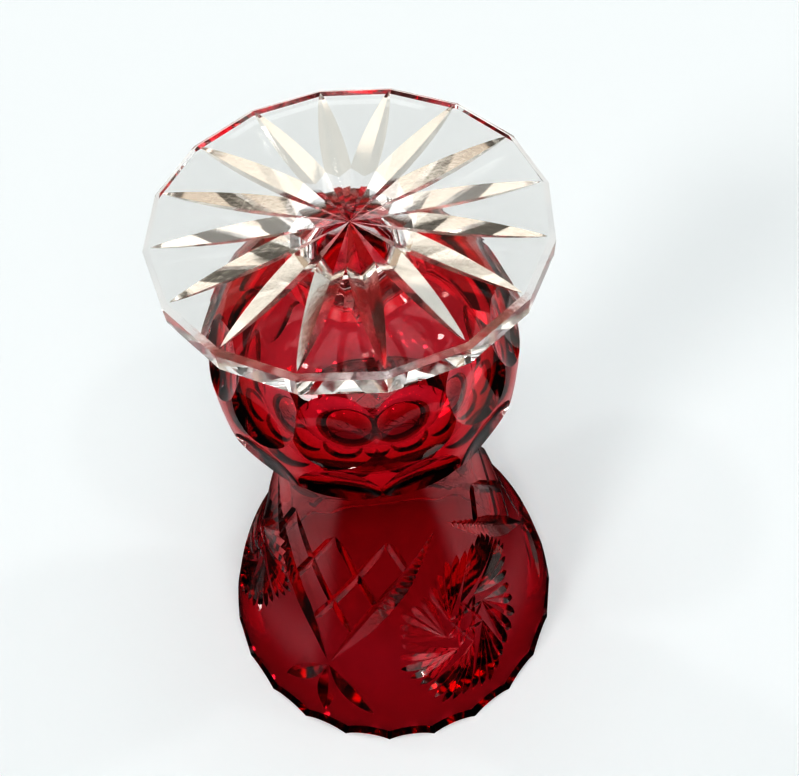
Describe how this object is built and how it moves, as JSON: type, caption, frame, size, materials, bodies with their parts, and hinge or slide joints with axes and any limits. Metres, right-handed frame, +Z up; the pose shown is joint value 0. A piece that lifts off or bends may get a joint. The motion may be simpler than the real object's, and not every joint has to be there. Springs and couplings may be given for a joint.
{
  "type": "footed glass vase",
  "caption": "Thistle-shaped cut-crystal vase with a ruby inner layer, a star-cut clear foot and a scalloped mouth, standing mouth-down like a bell.",
  "frame": {"origin": "centre of the scalloped rim, on the surface that it stands on", "axes": "+Z up from the mouth to the foot, along the axis of the vase; +X through the middle of one V-shaped cut panel"},
  "size_m": [0.127, 0.127, 0.205],
  "materials": {
    "clear_crystal": "cut and polished clear lead crystal",
    "ruby_glass": "glossy transparent ruby red"
  },
  "bodies": {
    "root": {"foot_disc": "clear_crystal", "faceted_stem": "clear_crystal", "crystal_body": "clear_crystal", "ruby_lining": "ruby_glass"}
  },
  "joints": []
}
